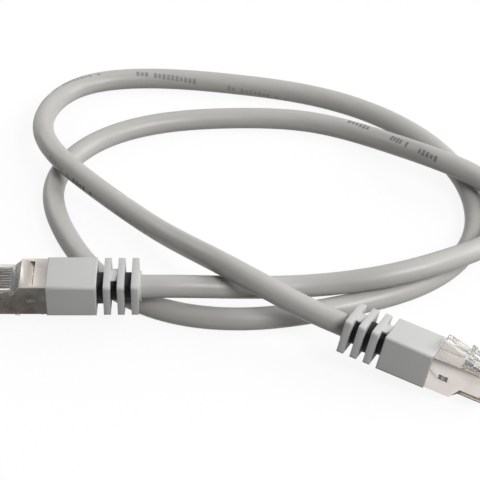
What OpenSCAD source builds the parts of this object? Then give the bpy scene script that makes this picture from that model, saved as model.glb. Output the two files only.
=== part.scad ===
// Screened patch cable: a round jacketed cord with an eight-way modular plug and a ribbed
// strain-relief boot at each end. It lies in two loose turns on a flat surface at z = 0.
// Each plug is drawn in its own frame: mating face at x = 0, body running back along -x,
// latch on the +z side, contacts on the -z side, cord axis on y = z = 0.

/* [Plug] */
// Overall length of the plug, from the mating face to the back of the moulding
plug_len = 21.5; // [20.5:0.1:23]
// Width of the plug over its shield
plug_w = 11.7; // [11.4:0.1:12]
// Height of the back of the plug over its shield
plug_h = 8.3; // [8:0.1:8.8]
// Height of the nose that enters the jack
nose_h = 6.4; // [6.2:0.1:6.6]
// Length of the low nose, up to the step on the contact side
nose_len = 6.9; // [6.6:0.1:7.5]
// Length over which the step on the contact side climbs
step_run = 1.5; // [1:0.1:2]

/* [Contacts] */
// Spacing of the contacts and of the conductors in their row
contact_pitch = 1.02; // [1.01:0.01:1.04]
// Thickness of a contact blade
contact_t = 0.35; // [0.3:0.01:0.38]
// Length of a contact blade along the plug
contact_len = 5.2; // [4.8:0.1:5.4]
// Depth of a contact's crown below the face of the nose
contact_recess = 0.4; // [0.2:0.05:0.6]

/* [Latch] */
// Width of the latch's locking shoulders
latch_w = 6.2; // [5.8:0.1:6.4]
// Width of the latch's release lever
lever_w = 3.25; // [2.8:0.05:3.6]
// Length of the latch from its hinge to the lever's tip
latch_len = 13.2; // [12.4:0.1:13.2]
// Length of the latch's wide part, from its hinge to the locking shoulders
shoulder_len = 7; // [6.4:0.1:7.5]
// Thickness of the latch
latch_t = 1; // [0.8:0.05:1.1]
// Angle at which the latch stands off the plug when it is free
latch_angle = 14; // [12:0.5:16]
// Radius of the latch's hinge root
hinge_r = 0.7; // [0.6:0.05:0.8]

/* [Shield] */
// Thickness of the stamped shield
shield_t = 0.25; // [0.2:0.01:0.3]
// Width of the crimp window across the shield
window_w = 9.6; // [6:0.1:9.8]

/* [Cord] */
// Diameter of the cord's jacket
cord_d = 5.8; // [5.4:0.1:5.9]
// Wall of the cord's jacket
jacket_t = 0.65; // [0.55:0.05:0.7]
// Diameter of one insulated conductor
wire_d = 0.88; // [0.8:0.01:0.9]

/* [Boot] */
// Length of the plug that shows in front of the boot
plug_reveal = 15; // [14.8:0.1:16]
// Length of the boot's solid body
boot_len = 12.5; // [11.5:0.1:14]
// Width of the boot
boot_w = 12.6; // [12.4:0.1:13.4]
// Height of the boot
boot_h = 9.2; // [9.1:0.1:10]
// Rounding of the boot's long edges
boot_r = 0.8; // [0.4:0.1:1.2]
// Number of rib plates behind the boot's body
rib_count = 3; // [2:1:4]
// Thickness of a rib plate
rib_t = 1.7; // [1.4:0.1:1.9]
// Gap in front of each rib plate
rib_gap = 1.75; // [1.5:0.05:2]
// Diameter of the sleeve that carries the rib plates
sleeve_d = 8.7; // [8.4:0.1:9]
// Half angle of the web that bridges each gap, seen along the cord
web_angle = 33; // [25:1:40]

/* [Where the two ends lie] */
// Height of plug A's axis, which rests on the cord
end_a_z = 10.7; // [10.6:0.1:12]
// Turn of plug B toward the viewer, about the vertical
end_b_yaw = 24; // [20:1:28]
// Droop of plug B's nose
end_b_pitch = 9; // [7:1:10]
// Roll of plug B about its own axis
end_b_roll = 16; // [10:1:20]

/* [Hidden] */
$fn = 48;

// Named clearances
seat = 0.03;         // between pieces pressed together
hinge_gap = 0.05;    // round the latch's root
slot_gap = 0.06;     // each side of a contact in its slot

// Plug body, in the plug's own frame
wire_count = 8;
jacket_r = cord_d / 2;
core_r = jacket_r - jacket_t;
skin = shield_t + seat;                    // shield and its seat, round the moulding
body_w = plug_w - 2 * skin;
latch_face = plug_h / 2 - skin;            // z of the moulding's latch side
nose_face = latch_face - nose_h;           // z of the nose's contact side
back_face = -latch_face;                   // z of the moulding's contact side at the back
row_z = nose_face + 3.4;                   // height of the conductor row
channel_r = wire_d / 2 + slot_gap;
channel_front = -0.9;
channel_back = -8.6;
cavity_w = wire_count * contact_pitch + 0.6;
cavity_h = cord_d + 0.7;
bar_front = channel_back - 0.1;
bar_len = 2.2;
bar_back = bar_front - bar_len;
fan_front = bar_back - 0.2;                // where the conductors leave their row
jacket_hold = 5.7;                         // length of jacket gripped inside the plug
jacket_front = -plug_len + jacket_hold;
entry_front = jacket_front + 0.6;          // where the full-height cavity starts

// Boot and inner mould
boot_front = -plug_reveal;
boot_back = boot_front - boot_len;
rib_pitch = rib_gap + rib_t;
collar_len = 0.6;
lead_in = 0.4;                             // depth of the step round the plug in the boot's mouth
sleeve_back = boot_back - rib_count * rib_pitch;
exit_x = sleeve_back - collar_len;         // where the free cord starts
mould_front = -plug_len - 0.8;
mould_back = boot_back + 0.9;
mould_w = 10.2;
mould_h = 7.2;
mould_r = 3.5;
mould_end = sleeve_back + 0.5;
fold_t = 0.12;
crimp_t = shield_t;
crimp_r = jacket_r + 2 * seat + fold_t;
crimp_front = -plug_len - 0.7;
crimp_back = crimp_front - 2.4;
fold_back = crimp_back + 0.6;              // end of the screen folded over the jacket
mould_bore_back = crimp_back - 0.6;

// Placement of the two ends
end_a_nose = [-63, 14.6, end_a_z];
end_a_turn = [0, 180, 0];
end_b_nose = [60.6, -15.5, 4.2];
end_b_turn = [-end_b_roll, end_b_pitch, -end_b_yaw];

// Cord route: control points of a smooth curve, by hand, between the two boots
lead = 12;                                 // straight lead out of each boot
rings_per_span = 2;
cord_sides = 12;
route = [
    [14, 20, 5.4], [37, 19, 9.8], [53, 26, 10], [66, 34, 9], [72, 47, 8.4], [67, 62, 8.8],
    [52, 70, 10.6], [43, 83, 5.4], [34, 92, 2.9], [19, 99, 2.9], [-1, 100, 2.9], [-24, 98, 2.9],
    [-43, 88, 2.9], [-53, 68, 2.9], [-47, 46, 2.9], [-35, 24, 2.9], [-18, 12.4, 2.9],
    [4, 10, 2.9], [27, 16, 2.9], [48, 24, 2.9], [62, 40, 2.9], [64, 62, 2.9], [57, 83, 2.9],
    [41, 101, 2.9], [21, 112, 2.9], [-1, 117, 2.9], [-25, 121, 2.9], [-48, 118, 3],
    [-57, 98, 5], [-53, 73, 11], [-36, 57, 7.6], [-20, 42, 5.6], [-6, 16, 18.2]
];

// Colours
jacket_grey = [0.66, 0.66, 0.64];
boot_grey = [0.70, 0.70, 0.69];
clear = [0.85, 0.88, 0.9, 0.6];
steel = [0.75, 0.74, 0.72];
gold = [0.85, 0.68, 0.3];

// ---- vectors and swept tubes ----

function turn_x(v, a) = [v.x, v.y * cos(a) - v.z * sin(a), v.y * sin(a) + v.z * cos(a)];
function turn_y(v, a) = [v.x * cos(a) + v.z * sin(a), v.y, -v.x * sin(a) + v.z * cos(a)];
function turn_z(v, a) = [v.x * cos(a) - v.y * sin(a), v.x * sin(a) + v.y * cos(a), v.z];
function turned(v, t) = turn_z(turn_y(turn_x(v, t.x), t.y), t.z);
function placed(v, nose, t) = nose + turned(v, t);
function unit(v) = v / norm(v);

// One point of a cubic B-spline span over four control points, at f from 0 to 1
function spline_point(p, i, f) =
    (pow(1 - f, 3) * p[i] + (3 * pow(f, 3) - 6 * pow(f, 2) + 4) * p[i + 1]
    + (-3 * pow(f, 3) + 3 * pow(f, 2) + 3 * f + 1) * p[i + 2] + pow(f, 3) * p[i + 3]) / 6;

function spline_path(p, steps) = concat(
    [for (i = [0 : len(p) - 4], k = [0 : steps - 1]) spline_point(p, i, k / steps)],
    [spline_point(p, len(p) - 4, 1)]);

function direction(path, i) =
    unit(path[min(i + 1, len(path) - 1)] - path[max(i - 1, 0)]);

// A ring of the tube, square to the path; up is any direction the path never takes
function ring(centre, along, r, sides, up) =
    let (side = unit(cross(along, up)), top = cross(side, along))
    [for (k = [0 : sides - 1])
        let (a = 360 * (k + 0.5) / sides) centre + r * (cos(a) * side + sin(a) * top)];

module tube(path, r, sides, up, first, last) {
    n = len(path);
    points = [for (i = [0 : n - 1])
        let (along = i == 0 ? first : i == n - 1 ? last : direction(path, i))
        each ring(path[i], along, r, sides, up)];
    walls = [for (i = [0 : n - 2], k = [0 : sides - 1])
        let (a = i * sides + k, b = i * sides + (k + 1) % sides)
        each [[a, b, b + sides], [a, b + sides, a + sides]]];
    front = [for (k = [1 : sides - 2]) [0, k + 1, k]];
    back = [for (k = [1 : sides - 2])
        [(n - 1) * sides, (n - 1) * sides + k, (n - 1) * sides + k + 1]];
    polyhedron(points, concat(walls, front, back), convexity = 10);
}

// ---- shared shapes ----

module rounded_rect(w, h, r) {
    square([w - 2 * r, h], center = true);
    square([w, h - 2 * r], center = true);
    for (sx = [-1, 1], sy = [-1, 1])
        translate([sx * (w / 2 - r), sy * (h / 2 - r)])
            circle(r);
}

// Extrusion of a y-z outline along x, from x_front back to x_back
module along_x(x_front, x_back) {
    translate([x_back, 0, 0])
        rotate([90, 0, 90])
            linear_extrude(x_front - x_back)
                children();
}

// Extrusion of an x-z outline across y, w wide and centred
module across(w) {
    translate([0, w / 2, 0])
        rotate([90, 0, 0])
            linear_extrude(w)
                children();
}

module block(x_front, x_back, w, z_low, z_high) {
    translate([x_back, -w / 2, z_low])
        cube([x_front - x_back, w, z_high - z_low]);
}

module round_x(x_front, x_back, r) {
    translate([x_back, 0, 0])
        rotate([0, 90, 0])
            cylinder(h = x_front - x_back, r = r);
}

module place_a() {
    translate(end_a_nose) rotate(end_a_turn) children();
}

module place_b() {
    translate(end_b_nose) rotate(end_b_turn) children();
}

function wire_y(i) = (i - (wire_count - 1) / 2) * contact_pitch;

// ---- plug body ----

hinge_x = -1.5;
hinge_z = latch_face + 0.25;
latch_relief = 0.35;

// Side outline of the moulding, grown by g on its long sides
function side_outline(g, front, back) = [
    [front, nose_face - g + 0.3], [front - 0.3, nose_face - g], [-nose_len, nose_face - g],
    [-nose_len - step_run, back_face - g], [back, back_face - g], [back, latch_face + g],
    [front - 0.4, latch_face + g], [front, latch_face + g - 0.4]
];

module plug_body() {
    difference() {
        union() {
            across(body_w) polygon(side_outline(0, 0, -plug_len));
            // bosses that hold the shield by the holes in its cheeks
            across(plug_w - 0.1)
                polygon([[hole_x + boss_len / 2, boss_h / 2], [hole_x + boss_len / 2, -boss_h / 2],
                    [hole_x - boss_len / 2, -boss_h / 2], [hole_x - boss_len / 2, boss_h / 2]]);
        }
        // contact slots, open on the contact side and through the front edge
        for (i = [0 : wire_count - 1])
            translate([0, wire_y(i), 0]) {
                block(channel_front + 0.1, -0.8 - contact_len - 2 * slot_gap,
                    contact_t + 2 * slot_gap, back_face, row_z);
                block(1, channel_front, contact_t + 2 * slot_gap, back_face, nose_face + 1.3);
            }
        // conductor channels
        for (i = [0 : wire_count - 1])
            translate([0, wire_y(i), row_z])
                round_x(channel_front, channel_back - 1, channel_r);
        // pocket for the load bar and the fan of conductors
        block(channel_back, entry_front - 1, cavity_w, -2.5, latch_face - 0.8);
        // round-bottomed entry for the cord
        round_x(entry_front, -plug_len - 1, cavity_h / 2);
        // strain-relief recess under the shield's tongue
        block(window_front + 0.2, window_back, tongue_w + 0.2, back_face - 1,
            back_face + tongue_dip + 0.15);
        // hinge seat, and the relief under the latch
        translate([hinge_x, 0, hinge_z])
            rotate([90, 0, 0])
                cylinder(h = latch_w + 0.6, r = hinge_r + hinge_gap, center = true);
        block(hinge_x, shield_front + 0.05, latch_w + 0.6, latch_face - latch_relief,
            latch_face + 1);
    }
}

// ---- contacts ----

contact_front = -0.8 - slot_gap;
crown_z = nose_face + contact_recess;
tine_len = 0.8;
tine_w = 0.5;
tine_top = row_z + 0.15;
tine_places = [1.1, 2.6, 4.1];             // behind the blade's front edge
crown_r = 0.5;

module contact_outline() {
    shank_top = tine_top - tine_len;
    difference() {
        translate([contact_front - contact_len, crown_z])
            square([contact_len, shank_top - crown_z]);
        translate([contact_front - crown_r, crown_z])
            square([1, crown_r]);
    }
    translate([contact_front - crown_r, crown_z + crown_r])
        circle(crown_r);
    for (x = tine_places)
        translate([contact_front - x - tine_w / 2, shank_top - 0.1])
            polygon([[0, 0], [tine_w, 0], [tine_w, tine_len - 0.2], [tine_w / 2, tine_len + 0.1],
                [0, tine_len - 0.2]]);
}

module contacts() {
    for (i = [0 : wire_count - 1])
        translate([0, wire_y(i), 0])
            across(contact_t) contact_outline();
}

// ---- conductors ----

wire_front = channel_front - 0.15;
fan_back = jacket_front + 0.3;
wire_back = -plug_len + 1;
pair_far = core_r - fold_t - 2 * seat - wire_d / 2 - 0.05;
pair_near = pair_far - wire_d - 0.15;
pair_side = wire_d / 2 + 0.02;
dive_in = 0.4;
green_dive = 0.85;
pair_high = pair_near + 0.4;

// One conductor: straight in its row, then down to its place in the core, of which the share
// given by dive lies in the first half of the fan
module conductor(i, core_y, core_z, dive = 0.5) {
    y = wire_y(i);
    along = [-1, 0, 0];
    path = [
        [wire_front, y, row_z], [fan_front, y, row_z],
        [(fan_front + fan_back) / 2, y + dive_in * (core_y - y), row_z + dive * (core_z - row_z)],
        [fan_back, core_y, core_z], [wire_back, core_y, core_z]
    ];
    difference() {
        tube(path, wire_d / 2, 8, [0, 0, 1], along, along);
        // cuts made by the contact's tines
        translate([0, y, 0])
            for (x = tine_places)
                block(contact_front - x + tine_w / 2 + seat, contact_front - x - tine_w / 2 - seat,
                    contact_t + 2 * seat, crown_z, tine_top + 0.05);
    }
}

module pair_orange() {
    conductor(0, -pair_far, 0);
    conductor(1, -pair_near, 0);
}

module pair_green() {
    conductor(2, -pair_side, -pair_high, green_dive);
    conductor(5, pair_side, -pair_high, green_dive);
}

module pair_blue() {
    conductor(3, -pair_side, pair_high);
    conductor(4, pair_side, pair_high);
}

module pair_brown() {
    conductor(6, pair_near, 0);
    conductor(7, pair_far, 0);
}

// ---- load bar ----

module load_bar() {
    difference() {
        block(bar_front, bar_back, cavity_w - 2 * seat, row_z + 0.15, latch_face - 0.8 - seat);
        for (i = [0 : wire_count - 1])
            translate([0, wire_y(i), row_z])
                round_x(bar_front + 1, bar_back - 1, wire_d / 2 + seat);
    }
}

// ---- cord end: jacket, screen and drain wire ----

module jacket_end() {
    difference() {
        round_x(jacket_front, exit_x, jacket_r);
        round_x(jacket_front + 1, wire_back - 1, core_r);
    }
}

// Foil inside the jacket, turned back over its end
module screen() {
    inner = core_r - seat - fold_t;
    outer = jacket_r + seat;
    lip = jacket_front + seat;
    translate([lip + fold_t, 0, 0])
        rotate([0, -90, 0])
            rotate_extrude()
                polygon([
                    [inner, 0], [outer + fold_t, 0], [outer + fold_t, lip + fold_t - fold_back],
                    [outer, lip + fold_t - fold_back], [outer, fold_t], [inner + fold_t, fold_t],
                    [inner + fold_t, lip + fold_t - wire_back], [inner, lip + fold_t - wire_back]
                ]);
}

drain_r = 0.2;

// Bare wire between the cord's core and its screen, ended at the load bar's pocket
module drain_wire() {
    r = core_r - fold_t - 3 * seat - drain_r;
    translate([0, r * cos(45), r * sin(45)])
        round_x(jacket_front + 1.2, wire_back, drain_r);
}

// ---- shield ----

shield_front = -8.2;
window_front = -10.7;
window_back = window_front - 1.2;
cheek_front = -1.6;
cheek_low = nose_face + 1.3;
shell_back = -plug_len - 0.05;
strap_w = 4.2;
seam = 0.15;
tongue_w = window_w - 0.4;
tongue_dip = 0.4;                          // how far the tongue's tip lies inside the moulding
hole_x = (window_front + window_back) / 2;
boss_len = 2.2;
boss_h = 1.1;

module shield_shell() {
    g = skin;
    difference() {
        across(plug_w) polygon(side_outline(g, cheek_front, shell_back));
        // the moulding's own space
        across(body_w + 2 * seat) polygon(side_outline(seat, 1, shell_back - 1));
        // nose: only the two cheeks stay, cut low beside the contacts
        block(1, -nose_len - 0.5, body_w + 2 * seat, back_face - 1, latch_face + 1);
        block(1, shield_front, body_w + 2 * seat, 0, latch_face + 1);
        across(plug_w + 1)
            polygon([[1, back_face - 1], [1, cheek_low], [-nose_len + 0.3, cheek_low],
                [-nose_len - step_run - 0.2, back_face - g], [-nose_len - step_run - 0.2,
                back_face - 1]]);
        // window for the strain relief, seam along the latch side, and the holes in the cheeks
        block(window_front, window_back, window_w, back_face - 1, back_face + 0.01);
        block(0, -plug_len, seam, 0, latch_face + 1);
        block(hole_x + boss_len / 2 + slot_gap, hole_x - boss_len / 2 - slot_gap, plug_w + 1,
            -boss_h / 2 - slot_gap, boss_h / 2 + slot_gap);
    }
    // tongue bent in through the window
    across(tongue_w)
        polygon([[window_front + 0.15, back_face - g], [window_front + 0.15, back_face - seat],
            [window_back + 0.25, back_face + tongue_dip],
            [window_back + 0.25, back_face + tongue_dip - shield_t]]);
    // strap to the crimp collar
    difference() {
        union() {
            across(strap_w)
                polygon([[shell_back + 0.6, back_face - seat], [shell_back + 0.6, back_face - g],
                    [shell_back, back_face - g], [crimp_front, -crimp_r - crimp_t],
                    [crimp_front - 0.4, -crimp_r - crimp_t], [crimp_front - 0.4, -crimp_r],
                    [crimp_front + 0.1, -crimp_r - 0.05], [shell_back, back_face - seat]]);
            round_x(crimp_front, crimp_back, crimp_r + crimp_t);
        }
        round_x(shell_back + 1, crimp_back - 1, crimp_r);
        block(crimp_front + 0.1, crimp_back - 1, 0.8, 0, crimp_r + 1);
    }
}

// ---- latch ----

shoulder_rise = 0.25;
ridge_r = 0.28;
slot_front = -shoulder_len + 4.2;
slot_len = 2.8;
slot_w = 1.6;

// Drawn flat, hinge at the origin, lever running back along -x
module latch_outline() {
    circle(hinge_r);
    polygon([[0, -0.25], [0, hinge_r], [-1.2, latch_t - 0.25], [-latch_len + 0.4, latch_t - 0.35],
        [-latch_len, latch_t - 0.6], [-latch_len, -0.1], [-latch_len + 0.3, -0.25]]);
}

module latch() {
    translate([hinge_x, 0, hinge_z])
        rotate([0, latch_angle, 0])
            difference() {
                union() {
                    across(latch_w) latch_outline();
                    // locking shoulders
                    across(latch_w)
                        polygon([[-shoulder_len + 1.9, latch_t - 0.4],
                            [-shoulder_len + 1.2, latch_t + shoulder_rise],
                            [-shoulder_len, latch_t + shoulder_rise],
                            [-shoulder_len, latch_t - 0.4]]);
                    // finger ridges on the lever
                    for (x = [0.8, 1.7, 2.6])
                        translate([-latch_len + x, 0, latch_t - 0.45])
                            rotate([90, 0, 0])
                                cylinder(h = lever_w, r = ridge_r, center = true);
                }
                // narrow the lever behind the shoulders
                for (s = [-1, 1])
                    translate([0, s * (latch_w / 2 + lever_w / 2), 0])
                        block(-shoulder_len, -latch_len - 2, latch_w, -1, latch_t + 2);
                // slot between the two shoulders
                block(slot_front, slot_front - slot_len, slot_w, -1, latch_t + 2);
            }
}

// ---- inner mould ----

module inner_mould() {
    difference() {
        union() {
            along_x(mould_front, mould_back) rounded_rect(mould_w, mould_h, 0.8);
            round_x(mould_back + 0.5, mould_end, mould_r);
        }
        round_x(mould_front + 1, mould_bore_back, crimp_r + crimp_t + seat);
        round_x(mould_front + 1, mould_end - 1, jacket_r + seat);
        block(mould_front + 1, crimp_front - 0.5, strap_w + 0.2, -mould_h, 0);
    }
}

// ---- boot ----

// Rounded on all its edges: the space common to three rounded prisms
module boot_block() {
    intersection() {
        along_x(boot_front, boot_back) rounded_rect(boot_w, boot_h, boot_r);
        translate([boot_front - boot_len / 2, 0, -boot_h])
            linear_extrude(2 * boot_h) rounded_rect(boot_len, boot_w, 0.4);
        translate([boot_front - boot_len / 2, 0, 0])
            across(2 * boot_w) rounded_rect(boot_len, boot_h, 0.4);
    }
}

// The slot of one gap: a ring cut from the sleeve, but for a web on the side that side gives
module rib_slot(x_front, side) {
    difference() {
        round_x(x_front, x_front - rib_gap, sleeve_d);
        round_x(x_front + 1, x_front - rib_gap - 1, mould_r + seat);
        along_x(x_front + 1, x_front - rib_gap - 1)
            polygon([[0, 0], [-side * sleeve_d * sin(web_angle), side * sleeve_d * cos(web_angle)],
                [side * sleeve_d * sin(web_angle), side * sleeve_d * cos(web_angle)]]);
    }
}

module boot() {
    difference() {
        union() {
            boot_block();
            round_x(boot_back + 1, sleeve_back, sleeve_d / 2);
            for (i = [0 : rib_count - 1])
                along_x(boot_back - rib_gap - i * rib_pitch, boot_back - (i + 1) * rib_pitch)
                    rounded_rect(boot_w - 0.2, boot_h - 0.2, boot_r);
            round_x(sleeve_back + 0.5, exit_x, sleeve_d / 2 - 0.5);
        }
        // lead-in round the plug, and pockets for the plug, the inner mould and the cord
        block(boot_front + 1, boot_front - lead_in, plug_w + 2 * seat + lead_in,
            -plug_h / 2 - seat - lead_in / 2, plug_h / 2 + seat + lead_in / 2);
        block(boot_front + 1, mould_front, plug_w + 2 * seat, -plug_h / 2 - seat,
            plug_h / 2 + seat);
        along_x(mould_front + 0.5, mould_back - seat)
            rounded_rect(mould_w + 2 * seat, mould_h + 2 * seat, 0.8);
        round_x(mould_back + 0.5, mould_end - seat, mould_r + seat);
        round_x(mould_back, exit_x - 1, jacket_r + seat);
        for (i = [0 : rib_count - 1])
            rib_slot(boot_back - i * rib_pitch, i % 2 == 0 ? 1 : -1);
    }
}

// ---- free cord ----

function along_a() = turned([-1, 0, 0], end_a_turn);
function along_b() = turned([-1, 0, 0], end_b_turn);
exit_a = placed([exit_x, 0, 0], end_a_nose, end_a_turn);
exit_b = placed([exit_x, 0, 0], end_b_nose, end_b_turn);

module cord() {
    controls = concat(
        [exit_a - lead * along_a(), exit_a, exit_a + lead * along_a()], route,
        [exit_b + lead * along_b(), exit_b, exit_b - lead * along_b()]);
    path = spline_path(controls, rings_per_span);
    tube(path, cord_d / 2, cord_sides, [0, 0, 1], along_a(), -along_b());
}

color(jacket_grey) cord();
color(boot_grey) place_a() boot();  // boot_a
color("dimgray") place_a() inner_mould();  // inner_mould_a
color(jacket_grey) place_a() jacket_end();  // jacket_end_a
color("silver") place_a() screen();  // screen_a
color("silver") place_a() drain_wire();  // drain_wire_a
color("orange") place_a() pair_orange();  // pair_orange_a
color("green") place_a() pair_green();  // pair_green_a
color("blue") place_a() pair_blue();  // pair_blue_a
color("brown") place_a() pair_brown();  // pair_brown_a
color(clear) place_a() load_bar();  // load_bar_a
color(clear) place_a() plug_body();  // plug_body_a
color(gold) place_a() contacts();  // contacts_a
color(steel) place_a() shield_shell();  // shield_shell_a
color(clear) place_a() latch();  // latch_a
color(boot_grey) place_b() boot();  // boot_b
color("dimgray") place_b() inner_mould();  // inner_mould_b
color(jacket_grey) place_b() jacket_end();  // jacket_end_b
color("silver") place_b() screen();  // screen_b
color("silver") place_b() drain_wire();  // drain_wire_b
color("orange") place_b() pair_orange();  // pair_orange_b
color("green") place_b() pair_green();  // pair_green_b
color("blue") place_b() pair_blue();  // pair_blue_b
color("brown") place_b() pair_brown();  // pair_brown_b
color(clear) place_b() load_bar();  // load_bar_b
color(clear) place_b() plug_body();  // plug_body_b
color(gold) place_b() contacts();  // contacts_b
color(steel) place_b() shield_shell();  // shield_shell_b
color(clear) place_b() latch();  // latch_b
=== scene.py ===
"""Screened patch cable: a jacketed cord in two loose turns, a shielded plug and a ribbed boot at each end."""
import math

import bmesh
import bpy
from mathutils import Matrix, Vector


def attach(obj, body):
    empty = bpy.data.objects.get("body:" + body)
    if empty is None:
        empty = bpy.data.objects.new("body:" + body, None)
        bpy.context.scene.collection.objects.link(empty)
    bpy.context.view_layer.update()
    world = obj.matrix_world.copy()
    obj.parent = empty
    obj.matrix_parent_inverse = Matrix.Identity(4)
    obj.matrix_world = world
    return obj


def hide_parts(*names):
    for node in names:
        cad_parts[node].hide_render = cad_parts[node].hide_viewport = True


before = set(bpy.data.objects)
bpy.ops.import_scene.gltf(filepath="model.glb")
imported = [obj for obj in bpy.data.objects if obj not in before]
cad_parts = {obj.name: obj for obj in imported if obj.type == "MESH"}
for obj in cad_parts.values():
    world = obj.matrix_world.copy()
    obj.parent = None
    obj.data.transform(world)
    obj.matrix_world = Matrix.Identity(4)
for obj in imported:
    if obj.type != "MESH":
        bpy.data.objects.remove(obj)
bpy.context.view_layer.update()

# Sizes are in mm unless a comment says otherwise, and this brings them to the model's metres
MM = 0.001

# The two ends, as the solids have them: mating face of the plug and the turns about x, y and z
ENDS = {
    "a": (Vector((-63, 14.6, 10.7)), (0, 180, 0)),
    "b": (Vector((60.6, -15.5, 4.2)), (-16, 9, -24)),
}
EXIT_BACK = 38.45           # from the mating face back to where the free cord starts

# Cord
CORD_D = 5.8
CORD_SIDES = 32
CORD_STEP = 2.0             # between two rings of the tube
CORD_LEAD = 12              # straight lead out of each boot
SPLINE_STEPS = 24           # points of the smooth curve per control point
ROUTE = [
    (14, 20, 5.4), (37, 19, 9.8), (53, 26, 10), (66, 34, 9), (72, 47, 8.4), (67, 62, 8.8),
    (52, 70, 10.6), (43, 83, 5.4), (34, 92, 2.9), (19, 99, 2.9), (-1, 100, 2.9), (-24, 98, 2.9),
    (-43, 88, 2.9), (-53, 68, 2.9), (-47, 46, 2.9), (-35, 24, 2.9), (-18, 12.4, 2.9),
    (4, 10, 2.9), (27, 16, 2.9), (48, 24, 2.9), (62, 40, 2.9), (64, 62, 2.9), (57, 83, 2.9),
    (41, 101, 2.9), (21, 112, 2.9), (-1, 117, 2.9), (-25, 121, 2.9), (-48, 118, 3),
    (-57, 98, 5), (-53, 73, 11), (-36, 57, 7.6), (-20, 42, 5.6), (-6, 16, 18.2),
]

# Printed row: where it lies, as mm along the cord and degrees round it from its side over its top
PRINT_TURNS = [
    (0, 270), (60, 270), (115, 180), (185, 60), (300, -90), (490, -90), (610, -340), (736, -420),
]
DASH_PITCH = 1.3            # from one dash to the next
DASH_SHARE = 0.68           # of the pitch that a dash fills
DASH_HALF = (0.5, 0.9)      # least and largest half height of a dash
DASH_EDGE = (-0.03, 0.05)   # the ink comes on between these two distances inside the edge
DASHES_IN_CLUMP = 7
DASH_MISSING = 0.18         # share of the dashes left out
CLUMP_MISSING = 0.3         # share of the clumps left out
INK_STRENGTH = (0.2, 0.75)  # at the least and the largest draw of a clump
INK_COLOR = (0.07, 0.07, 0.075)

# Plastics
JACKET_COLOR = (0.385, 0.378, 0.36)
JACKET_RELIEF = 0.03
PAIR_LAY = 19               # length of one turn of the pairs inside the cord
PAIRS = 4
PAIR_RELIEF = 0.45          # of the pairs under the jacket, against the jacket's own grain
BOOT_COLOR = (0.43, 0.43, 0.42)
CLEAR_COLOR = (0.94, 0.94, 0.90)
MOULDED_RELIEF = 0.02
CLEAR_RELIEF = 0.004

# Metals
PLATE_COLOR = (0.74, 0.69, 0.65)
# Plug a's shield: its darker, more beige plate and the dark brown film on its two flanks are painted shade,
# standing for the shaded floor that its flanks reflect
PAINTED_SHADE_PLATE_COLOR = (0.67, 0.625, 0.58)
PLATE_STAIN = (0.45, 0.33, 0.25)
PAINTED_SHADE_COLOR = (0.038, 0.033, 0.028)
PAINTED_SHADE_FROM, PAINTED_SHADE_FULL = 0.75, 0.98     # how far a face looks sideways, from 0 to 1
ROLLING_LINES = (30.0, 2000.0, 2000.0)      # per metre along the sheet and across it
METAL_RELIEF = 0.002

# Rounding of the moulded and stamped pieces
EDGES = {"boot": 0.22, "inner_mould": 0.15, "shield_shell": 0.05, "latch": 0.1, "plug_body": 0.06,
         "contacts": 0.04}
EDGE_SEGMENTS = 2
SHARP_EDGE = 30             # degrees between two faces, from which their edge is rounded
SMOOTH_SHADING = 32         # degrees, up to which the shading runs over an edge
FLAT_EDGE = 0.6             # degrees, up to which an edge between two faces is dropped
WELD = 0.002

# Camera: it looks at a point on the surface behind the plugs
VIEW_TARGET = Vector((0, 47, 0))
VIEW_DISTANCE = 543
VIEW_ELEVATION = 38         # degrees
VIEW_LENS = 153.75
VIEW_SENSOR = 36
VIEW_CLIP = (0.01, 10)      # metres, nearest and farthest

# Floor: its grey where it's seen and where it only lights the cable, and its own glow where it's seen
FLOOR_REACH = 3             # metres from its middle to its edge
FLOOR_SEEN, FLOOR_LIGHTING, FLOOR_GLOW = 0.8, 0.14, 0.9

# Room light: its strength all round, and what is added behind the cable and to its right
ROOM_ROUND, ROOM_BEHIND, ROOM_RIGHT = 0.12, 0.68, 0.15

# Lamps, in metres and watts: place, the point it aims at, side of its square, power
LAMPS = {
    "key": ((0.4, 0.3, 0.85), (0, 0.05, 0), 0.6, 1.2),
    "right": ((0.7, 0.1, 0.4), (0, 0.05, 0), 0.5, 4.5),
    "left_back": ((-0.14, 0.17, 0.1), (-0.04, 0.1, 0), 0.1, 0.08),
    "front_right": ((0.38, -0.42, 0.58), (0.02, 0, 0), 0.3, 5.0),
}


# ---- places ----

def end_matrix(end):
    """From a plug's own frame, in mm, to the model's frame, in metres."""
    nose, (tx, ty, tz) = ENDS[end]
    turn = (Matrix.Rotation(math.radians(tz), 4, "Z") @ Matrix.Rotation(math.radians(ty), 4, "Y")
            @ Matrix.Rotation(math.radians(tx), 4, "X"))
    return Matrix.Scale(MM, 4) @ Matrix.Translation(nose) @ turn


def spline_point(points, i, f):
    """A point of a smooth curve over four of its control points, at f from 0 to 1."""
    shares = ((1 - f) ** 3, 3 * f ** 3 - 6 * f ** 2 + 4, -3 * f ** 3 + 3 * f ** 2 + 3 * f + 1, f ** 3)
    return sum((points[i + k] * share for k, share in enumerate(shares)), Vector()) / 6


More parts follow.
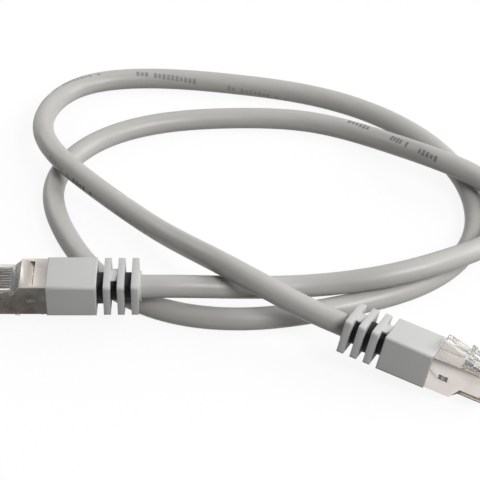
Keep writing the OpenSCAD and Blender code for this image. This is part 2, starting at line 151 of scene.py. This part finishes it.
def cord_line():
    """The cord's centreline in metres, from boot a to boot b, in even steps."""
    leads = {end: [end_matrix(end) @ Vector((-EXIT_BACK + back, 0, 0)) for back in
                   (CORD_LEAD, 0, -CORD_LEAD)] for end in ENDS}
    controls = leads["a"] + [Vector(p) * MM for p in ROUTE] + leads["b"][::-1]
    dense = [spline_point(controls, i, k / SPLINE_STEPS)
             for i in range(len(controls) - 3) for k in range(SPLINE_STEPS)]
    dense.append(spline_point(controls, len(controls) - 4, 1))
    run = [0.0]
    for a, b in zip(dense, dense[1:]):
        run.append(run[-1] + (b - a).length)
    count = round(run[-1] / (CORD_STEP * MM))
    line, j = [], 0
    for n in range(count + 1):
        s = run[-1] * n / count
        while run[j + 1] < s and j < len(run) - 2:
            j += 1
        line.append(dense[j].lerp(dense[j + 1], (s - run[j]) / (run[j + 1] - run[j])))
    return line


def ring_matrix(line, i):
    """A ring's place on the cord's line: its x axis to the side and its y axis up."""
    along = (line[min(i + 1, len(line) - 1)] - line[max(i - 1, 0)]).normalized()
    side = along.cross(Vector((0, 0, 1))).normalized()
    top = side.cross(along)
    turn = Matrix((side, top, -along)).transposed().to_4x4()
    return Matrix.Translation(line[i]) @ turn


def print_angle(s):
    """Where the printed row lies round the cord, which rolls slowly along its length."""
    for (start, first), (end, last) in zip(PRINT_TURNS, PRINT_TURNS[1:]):
        if s <= end * MM:
            return math.radians(first + (last - first) * (s / MM - start) / (end - start))
    return math.radians(last)


# ---- nodes ----

def add_node(tree, kind, values=None, **settings):
    """A node of the given kind, with its settings and with its sockets set or linked by name or number."""
    node = tree.nodes.new(kind)
    for name, value in settings.items():
        setattr(node, name, value)
    for name, value in (values or {}).items():
        socket = node.inputs[name]
        if isinstance(value, bpy.types.NodeSocket):
            tree.links.new(value, socket)
        else:
            socket.default_value = value
    return node


def math_node(tree, operation, a, b=0.0, c=0.0):
    return add_node(tree, "ShaderNodeMath", {0: a, 1: b, 2: c}, operation=operation).outputs[0]


def ramp(tree, value, start, full):
    """0 up to the start, 1 from the full value on, and even between them."""
    return add_node(tree, "ShaderNodeMapRange", {"Value": value, "From Min": start,
                                                 "From Max": full}).outputs[0]


def mixed(tree, factor, a, b):
    """Colour a where the factor is 0, colour b where it is 1."""
    return add_node(tree, "ShaderNodeMix", {"Factor": factor, 6: a, 7: b}, data_type="RGBA").outputs[2]


def new_group(name, inputs, outputs):
    """An empty shader group with the given sockets, and its input and output nodes."""
    group = bpy.data.node_groups.new(name, "ShaderNodeTree")
    for label, kind, default in inputs:
        socket = group.interface.new_socket(label, in_out="INPUT", socket_type="NodeSocket" + kind)
        if default is not None:
            socket.default_value = default
    for label, kind in outputs:
        group.interface.new_socket(label, in_out="OUTPUT", socket_type="NodeSocket" + kind)
    return group, group.nodes.new("NodeGroupInput"), group.nodes.new("NodeGroupOutput")


# ---- shader groups ----

def moulded_group():
    """Moulded or extruded plastic: a fine grain, a slow drift of shade and some handling scuffs."""
    scuff_from, scuff_full = 0.6, 0.75          # of the noise, for where a scuff begins and is whole
    scuff_shade, scuff_roughness, scuff_relief = -0.35, 0.5, 0.4
    drift_roughness = 0.12
    group, given, out = new_group(
        "moulded_plastic",
        [("Color", "Color", (0.5, 0.5, 0.5, 1)), ("Place", "Vector", None),
         ("Grain", "Float", 3000.0), ("Drift", "Float", 90.0), ("Shade", "Float", 0.1),
         ("Roughness", "Float", 0.5), ("Scuffs", "Float", 0.15)],
        [("Color", "Color"), ("Roughness", "Float"), ("Height", "Float")])
    place = given.outputs["Place"]
    grain = add_node(group, "ShaderNodeTexNoise", {"Vector": place, "Scale": given.outputs["Grain"],
                                                   "Detail": 3.0})
    drift = add_node(group, "ShaderNodeTexNoise", {"Vector": place, "Scale": given.outputs["Drift"],
                                                   "Detail": 4.0, "Roughness": 0.6})
    scuff = add_node(group, "ShaderNodeTexNoise", {"Vector": place, "Scale": 420.0, "Detail": 5.0,
                                                   "Roughness": 0.75, "Distortion": 1.4})
    mark = ramp(group, scuff.outputs["Fac"], scuff_from, scuff_full)
    mark = math_node(group, "MULTIPLY", mark, given.outputs["Scuffs"])
    shade = math_node(group, "SUBTRACT", drift.outputs["Fac"], 0.5)
    shade = math_node(group, "MULTIPLY_ADD", shade, given.outputs["Shade"], 1.0)
    shade = math_node(group, "MULTIPLY_ADD", mark, scuff_shade, shade)
    tinted = add_node(group, "ShaderNodeVectorMath", {0: given.outputs["Color"], "Scale": shade},
                      operation="SCALE").outputs[0]
    rough = math_node(group, "MULTIPLY_ADD", mark, scuff_roughness, given.outputs["Roughness"])
    rough = math_node(group, "MULTIPLY_ADD", drift.outputs["Fac"], drift_roughness, rough)
    height = math_node(group, "MULTIPLY_ADD", mark, scuff_relief, grain.outputs["Fac"])
    group.links.new(tinted, out.inputs["Color"])
    group.links.new(rough, out.inputs["Roughness"])
    group.links.new(height, out.inputs["Height"])
    return group


def metal_group():
    """Stamped and plated metal: rolling lines, a faint stain and, where asked for, a dark brown film of
    painted shade that stands for a dark reflection.
    """
    stain_from, stain_full = 0.45, 0.75         # of the noise, for where the stain begins and is whole
    line_roughness, stain_roughness = 0.14, 0.25
    # how strong the painted shade is at the least, and how much the cloud adds to it
    painted_shade_least, painted_shade_cloud = 0.74, 0.3
    group, given, out = new_group(
        "plated_metal",
        [("Color", "Color", (0.7, 0.7, 0.7, 1)), ("Stain", "Color", (0.4, 0.3, 0.25, 1)),
         ("Place", "Vector", None), ("Stained", "Float", 0.2), ("Roughness", "Float", 0.22),
         ("Painted Shade", "Float", 0.0)],
        [("Color", "Color"), ("Roughness", "Float"), ("Height", "Float")])
    place = given.outputs["Place"]
    stretched = add_node(group, "ShaderNodeMapping", {"Vector": place, "Scale": ROLLING_LINES})
    lines = add_node(group, "ShaderNodeTexNoise", {"Vector": stretched.outputs[0], "Scale": 1.0,
                                                   "Detail": 2.0})
    cloud = add_node(group, "ShaderNodeTexNoise", {"Vector": place, "Scale": 260.0, "Detail": 4.0,
                                                   "Roughness": 0.65})
    stained = ramp(group, cloud.outputs["Fac"], stain_from, stain_full)
    stained = math_node(group, "MULTIPLY", stained, given.outputs["Stained"])
    tinted = mixed(group, stained, given.outputs["Color"], given.outputs["Stain"])
    # Painted shade: a dark brown film where asked for, standing for a dark reflection
    painted_shade = math_node(group, "MULTIPLY_ADD", cloud.outputs["Fac"], painted_shade_cloud, painted_shade_least)
    painted_shade = math_node(group, "MULTIPLY", painted_shade, given.outputs["Painted Shade"])
    tinted = mixed(group, painted_shade, tinted, (*PAINTED_SHADE_COLOR, 1))
    rough = math_node(group, "MULTIPLY_ADD", lines.outputs["Fac"], line_roughness,
                      given.outputs["Roughness"])
    rough = math_node(group, "MULTIPLY_ADD", stained, stain_roughness, rough)
    group.links.new(tinted, out.inputs["Color"])
    group.links.new(rough, out.inputs["Roughness"])
    group.links.new(lines.outputs["Fac"], out.inputs["Height"])
    return group


def printed_row_group():
    """A row of plain dashes of uneven height and spacing, in clumps, along a cord; both sizes in metres."""
    half_least, half_most = DASH_HALF
    faint, strong = INK_STRENGTH
    group, given, out = new_group("printed_row", [("Across", "Float", 0.0), ("Along", "Float", 0.0)],
                                  [("Ink", "Float")])
    cell = math_node(group, "DIVIDE", given.outputs["Along"], DASH_PITCH * MM)
    index = math_node(group, "FLOOR", cell)
    inside = math_node(group, "FRACT", cell)
    clump = math_node(group, "FLOOR", math_node(group, "DIVIDE", index, DASHES_IN_CLUMP))
    clump = math_node(group, "ADD", clump, 0.5)      # keeps its draw apart from the draws of the dashes
    chance = add_node(group, "ShaderNodeTexWhiteNoise", {"W": index}, noise_dimensions="1D").outputs[0]
    clump_chance = add_node(group, "ShaderNodeTexWhiteNoise", {"W": clump},
                            noise_dimensions="1D").outputs[0]
    shown = math_node(group, "GREATER_THAN", chance, DASH_MISSING)
    shown = math_node(group, "MULTIPLY", shown,
                      math_node(group, "GREATER_THAN", clump_chance, CLUMP_MISSING))
    shown = math_node(group, "MULTIPLY", shown, math_node(group, "LESS_THAN", inside, DASH_SHARE))
    half = math_node(group, "MULTIPLY_ADD", chance, (half_most - half_least) * MM, half_least * MM)
    off = math_node(group, "ABSOLUTE", given.outputs["Across"])
    band = ramp(group, math_node(group, "SUBTRACT", half, off), *(edge * MM for edge in DASH_EDGE))
    strength = math_node(group, "MULTIPLY_ADD", clump_chance, strong - faint, faint)
    ink = math_node(group, "MULTIPLY", math_node(group, "MULTIPLY", shown, band), strength)
    group.links.new(ink, out.inputs["Ink"])
    return group


MOULDED = moulded_group()
METAL = metal_group()
PRINTED_ROW = printed_row_group()


# ---- materials ----

def empty_material(name):
    """A material with nothing but its output node."""
    material = bpy.data.materials.new(name)
    material.use_nodes = True
    tree = material.node_tree
    tree.nodes.clear()
    return material, tree, tree.nodes.new("ShaderNodeOutputMaterial").inputs["Surface"]


def surface(name, group, values, relief, **sockets):
    """A material whose colour, roughness and relief come from one of the shader groups."""
    material, tree, out = empty_material(name)
    shader = tree.nodes.new("ShaderNodeBsdfPrincipled")
    tree.links.new(shader.outputs[0], out)
    place = tree.nodes.new("ShaderNodeTexCoord").outputs["Object"]
    look = add_node(tree, "ShaderNodeGroup", node_tree=group)
    tree.links.new(place, look.inputs["Place"])
    for label, value in values.items():
        look.inputs[label].default_value = value
    tree.links.new(look.outputs["Color"], shader.inputs["Base Color"])
    tree.links.new(look.outputs["Roughness"], shader.inputs["Roughness"])
    bump = add_node(tree, "ShaderNodeBump", {"Height": look.outputs["Height"], "Strength": 1.0,
                                             "Distance": relief * MM})
    tree.links.new(bump.outputs[0], shader.inputs["Normal"])
    for label, value in sockets.items():
        shader.inputs[label.replace("_", " ")].default_value = value
    return material, tree, shader, look


def moulded(name, color, roughness, relief=MOULDED_RELIEF):
    """Opaque plastic."""
    return surface(name, MOULDED, {"Color": (*color, 1), "Roughness": roughness}, relief)[0]


def insulation(name, color):
    """The glossy skin of a conductor."""
    return moulded(name, color, roughness=0.35)


def clear_moulding(name):
    """Clear polycarbonate with flow lines just under its skin."""
    return surface(name, MOULDED, {"Color": (*CLEAR_COLOR, 1), "Roughness": 0.06, "Shade": 0.05,
                                   "Scuffs": 0.1, "Grain": 900.0},
                   CLEAR_RELIEF, Transmission_Weight=0.9, IOR=1.58)[0]


def printed_jacket(name):
    """The free cord's jacket: a faint rope of the pairs beneath it, and a printed row of plain dashes."""
    material, tree, shader, look = surface(
        name, MOULDED, {"Color": (*JACKET_COLOR, 1), "Roughness": 0.33, "Shade": 0.12, "Scuffs": 0.12},
        JACKET_RELIEF)
    lay = add_node(tree, "ShaderNodeAttribute", attribute_name="lay").outputs["Vector"]
    lay = add_node(tree, "ShaderNodeSeparateXYZ", {0: lay})
    angle = math_node(tree, "ARCTAN2", lay.outputs["Y"], lay.outputs["X"])
    along = lay.outputs["Z"]
    across = math_node(tree, "MULTIPLY", angle, CORD_D / 2 * MM)
    row = add_node(tree, "ShaderNodeGroup", node_tree=PRINTED_ROW)
    tree.links.new(along, row.inputs["Along"])
    tree.links.new(across, row.inputs["Across"])
    inked = mixed(tree, row.outputs["Ink"], look.outputs["Color"], (*INK_COLOR, 1))
    tree.links.new(inked, shader.inputs["Base Color"])
    turns = math_node(tree, "MULTIPLY", along, math.tau / (PAIR_LAY * MM))
    rope = math_node(tree, "SINE", math_node(tree, "MULTIPLY_ADD", angle, PAIRS, turns))
    height = math_node(tree, "MULTIPLY_ADD", rope, PAIR_RELIEF, look.outputs["Height"])
    bump = shader.inputs["Normal"].links[0].from_node
    tree.links.new(height, bump.inputs["Height"])
    return material


def plated(name, color, stain, roughness=0.22):
    """Plated metal, with its tree, shader and group for those that add to it."""
    return surface(name, METAL, {"Color": (*color, 1), "Stain": (*stain, 1), "Roughness": roughness},
                   METAL_RELIEF, Metallic=1.0)


def turned_plate(name, color, stain, end):
    """Plated metal whose rolling lines run along a plug that lies askew."""
    material, tree, _, look = plated(name, color, stain)
    place = look.inputs["Place"].links[0].from_socket
    nose, turns = ENDS[end]
    turned = add_node(tree, "ShaderNodeMapping", {"Vector": place, "Location": nose * MM,
                                                  "Rotation": [math.radians(t) for t in turns]},
                      vector_type="TEXTURE")
    tree.links.new(turned.outputs[0], look.inputs["Place"])
    return material


def painted_shade_plate(name, color, stain):
    """Plated metal whose two flanks carry a dark brown film of painted shade, standing for the dark
    reflection of a shaded floor.
    """
    material, tree, _, look = plated(name, color, stain)
    normal = tree.nodes.new("ShaderNodeTexCoord").outputs["Normal"]
    sideways = add_node(tree, "ShaderNodeSeparateXYZ", {0: normal}).outputs["Y"]
    flank = ramp(tree, math_node(tree, "ABSOLUTE", sideways), PAINTED_SHADE_FROM, PAINTED_SHADE_FULL)
    tree.links.new(flank, look.inputs["Painted Shade"])
    return material


materials = {
    "jacket": moulded("jacket_grey", JACKET_COLOR, roughness=0.38, relief=JACKET_RELIEF),
    "printed_jacket": printed_jacket("jacket_printed"),
    "boot": moulded("boot_grey", BOOT_COLOR, roughness=0.5),
    # A real inner mould, made near black so that it also stands as painted shade deep in the boot's slots
    "inner_mould": moulded("inner_black_with_painted_shade", (0.012, 0.012, 0.013), roughness=0.6),
    "clear_plastic": clear_moulding("clear_polycarbonate"),
    "plated_steel": turned_plate("nickel_plate", PLATE_COLOR, PLATE_STAIN, "b"),
    # plug a's shield: a darker plate with painted shade on its flanks
    "painted_shade_steel": painted_shade_plate("nickel_plate_painted_shade", PAINTED_SHADE_PLATE_COLOR, PLATE_STAIN),
    "gold": plated("gold_plate", (0.86, 0.60, 0.22), (0.45, 0.25, 0.10), roughness=0.25)[0],
    "foil": plated("screen_foil", (0.80, 0.80, 0.82), (0.5, 0.5, 0.5), roughness=0.15)[0],
    "tinned_wire": plated("tinned_copper", (0.70, 0.70, 0.72), (0.5, 0.4, 0.3))[0],
    "orange_insulation": insulation("orange_insulation", (0.72, 0.20, 0.02)),
    "green_insulation": insulation("green_insulation", (0.02, 0.25, 0.05)),
    "blue_insulation": insulation("blue_insulation", (0.02, 0.06, 0.38)),
    "brown_insulation": insulation("brown_insulation", (0.12, 0.045, 0.015)),
}

# The finish of each piece of an end
SLOTS = {
    "boot": "boot", "inner_mould": "inner_mould", "jacket_end": "jacket", "screen": "foil",
    "drain_wire": "tinned_wire", "pair_orange": "orange_insulation", "pair_green": "green_insulation",
    "pair_blue": "blue_insulation", "pair_brown": "brown_insulation", "load_bar": "clear_plastic",
    "plug_body": "clear_plastic", "contacts": "gold", "shield_shell": "plated_steel",
    "latch": "clear_plastic",
}


# ---- pieces ----

def finished_mesh(name, bm):
    mesh = bpy.data.meshes.new(name)
    bm.to_mesh(mesh)
    bm.free()
    return mesh


def add_object(name, data):
    thing = bpy.data.objects.new(name, data)
    bpy.context.scene.collection.objects.link(thing)
    return thing


def put(name, bm, body, stands_for, material):
    """A piece from a finished bmesh, smooth but for its sharp edges, on a body and in the place of a node."""
    mesh = finished_mesh(name, bm)
    mesh.shade_smooth()
    mesh.set_sharp_from_angle(angle=math.radians(SMOOTH_SHADING))
    mesh.materials.append(materials[material])
    piece = add_object(name, mesh)
    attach(piece, body)
    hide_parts(stands_for)
    return piece


def make_cord():
    """The free cord: one ring pulled along the line, keeping where each point lies on the jacket."""
    line = cord_line()
    radius = CORD_D / 2 * MM
    bm = bmesh.new()
    lay = bm.verts.layers.float_vector.new("lay")
    place = ring_matrix(line, 0)
    bmesh.ops.create_circle(bm, cap_ends=True, segments=CORD_SIDES, radius=radius, matrix=place)
    edges = list(bm.edges)

    def mark(verts, place, s):
        back = Matrix.Rotation(-print_angle(s), 4, "Z") @ place.inverted()
        for v in verts:
            local = back @ v.co
            v[lay] = (local.x / radius, local.y / radius, s)

    mark(list(bm.verts), place, 0)
    run = 0
    for i in range(1, len(line)):
        new = ring_matrix(line, i)
        pulled = bmesh.ops.extrude_edge_only(bm, edges=edges)["geom"]
        ring = [g for g in pulled if isinstance(g, bmesh.types.BMVert)]
        edges = [e for e in pulled if isinstance(e, bmesh.types.BMEdge)
                 and all(v in ring for v in e.verts)]
        bmesh.ops.transform(bm, matrix=new @ place.inverted(), verts=ring)
        run += (line[i] - line[i - 1]).length
        mark(ring, new, run)
        place = new
    bmesh.ops.contextual_create(bm, geom=edges)
    bmesh.ops.recalc_face_normals(bm, faces=list(bm.faces))
    cord = put("cord_jacket", bm, "cable", "cord", "printed_jacket")


def soften(node, edge, body, material):
    """A copy of a solid with its sharp edges rounded a little, which stands for it."""
    bm = bmesh.new()
    bm.from_mesh(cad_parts[node].data)
    bmesh.ops.remove_doubles(bm, verts=list(bm.verts), dist=WELD * MM)
    bmesh.ops.dissolve_limit(bm, angle_limit=math.radians(FLAT_EDGE), verts=list(bm.verts),
                             edges=list(bm.edges))
    sharp = [e for e in bm.edges if e.is_manifold and e.calc_face_angle(0) > math.radians(SHARP_EDGE)]
    bmesh.ops.bevel(bm, geom=sharp, offset=edge * MM, offset_type="OFFSET", segments=EDGE_SEGMENTS,
                    profile=0.5, affect="EDGES", clamp_overlap=True, material=-1)
    put(node + "_skin", bm, body, node, material)


def make_ends():
    """Both plugs with their boots: each solid gets its finish, and the visible ones a softened copy."""
    for end in ENDS:
        for name, slot in SLOTS.items():
            node = f"{name}_{end}"
            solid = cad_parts[node].data
            solid.materials.clear()
            solid.materials.append(materials[slot])
            if name in EDGES:
                # plug a's shield takes the plate with painted shade on its flanks
                soften(node, EDGES[name], node if name == "latch" else "cable",
                       "painted_shade_steel" if node == "shield_shell_a" else slot)


# ---- scene ----

def make_camera():
    data = bpy.data.cameras.new("view")
    data.lens = VIEW_LENS
    data.sensor_width = VIEW_SENSOR
    data.clip_start, data.clip_end = VIEW_CLIP
    camera = add_object("view", data)
    rise = math.radians(VIEW_ELEVATION)
    back = Vector((0, -math.cos(rise), math.sin(rise)))
    camera.location = (VIEW_TARGET + VIEW_DISTANCE * back) * MM
    camera.rotation_euler = (math.pi / 2 - rise, 0, 0)
    bpy.context.scene.camera = camera


def make_lamp(name, place, target, side, power):
    data = bpy.data.lights.new(name, "AREA")
    data.shape = "SQUARE"
    data.size = side
    data.energy = power
    lamp = add_object(name, data)
    lamp.location = place
    lamp.rotation_euler = (Vector(target) - Vector(place)).to_track_quat("-Z", "Y").to_euler()


def seen(tree):
    """1 where a surface is seen directly, through glass or mirrored; 0 where it only lights another."""
    path = tree.nodes.new("ShaderNodeLightPath")
    clear = math_node(tree, "MAXIMUM", path.outputs["Is Camera Ray"], path.outputs["Is Transmission Ray"])
    return math_node(tree, "MAXIMUM", clear, path.outputs["Is Glossy Ray"])


def make_floor():
    """White paper that glows where it's seen, so that it stays white and still shows the shadow."""
    material, tree, out = empty_material("white_sweep")
    glow = add_node(tree, "ShaderNodeEmission", {"Color": (1, 1, 1, 1), "Strength": 1.0})
    direct = seen(tree)
    shade = mixed(tree, direct, (*[FLOOR_LIGHTING] * 3, 1), (*[FLOOR_SEEN] * 3, 1))
    paper = add_node(tree, "ShaderNodeBsdfDiffuse", {"Color": shade})
    share = math_node(tree, "MULTIPLY", direct, FLOOR_GLOW)
    blend = add_node(tree, "ShaderNodeMixShader", {0: share, 1: paper.outputs[0], 2: glow.outputs[0]})
    tree.links.new(blend.outputs[0], out)
    bm = bmesh.new()
    bmesh.ops.create_grid(bm, x_segments=1, y_segments=1, size=FLOOR_REACH)
    mesh = finished_mesh("floor", bm)
    mesh.materials.append(material)
    add_object("floor", mesh)


def make_world():
    """Light from all round, stronger from behind the cable and from its right."""
    world = bpy.data.worlds.new("studio")
    world.use_nodes = True
    tree = world.node_tree
    tree.nodes.clear()
    direction = tree.nodes.new("ShaderNodeTexCoord").outputs["Generated"]
    way = add_node(tree, "ShaderNodeSeparateXYZ", {0: direction})
    behind = math_node(tree, "MAXIMUM", way.outputs["Y"], 0.0)
    right = math_node(tree, "MAXIMUM", way.outputs["X"], 0.0)
    strength = math_node(tree, "MULTIPLY_ADD", behind, ROOM_BEHIND, ROOM_ROUND)
    strength = math_node(tree, "MULTIPLY_ADD", right, ROOM_RIGHT, strength)
    back = add_node(tree, "ShaderNodeBackground", {"Color": (1, 1, 1, 1), "Strength": strength})
    output = tree.nodes.new("ShaderNodeOutputWorld")
    tree.links.new(back.outputs[0], output.inputs["Surface"])
    bpy.context.scene.world = world


make_camera()
make_cord()
make_ends()
make_floor()
make_world()
for lamp, numbers in LAMPS.items():
    make_lamp(lamp, *numbers)
bpy.context.scene.view_settings.view_transform = "Standard"
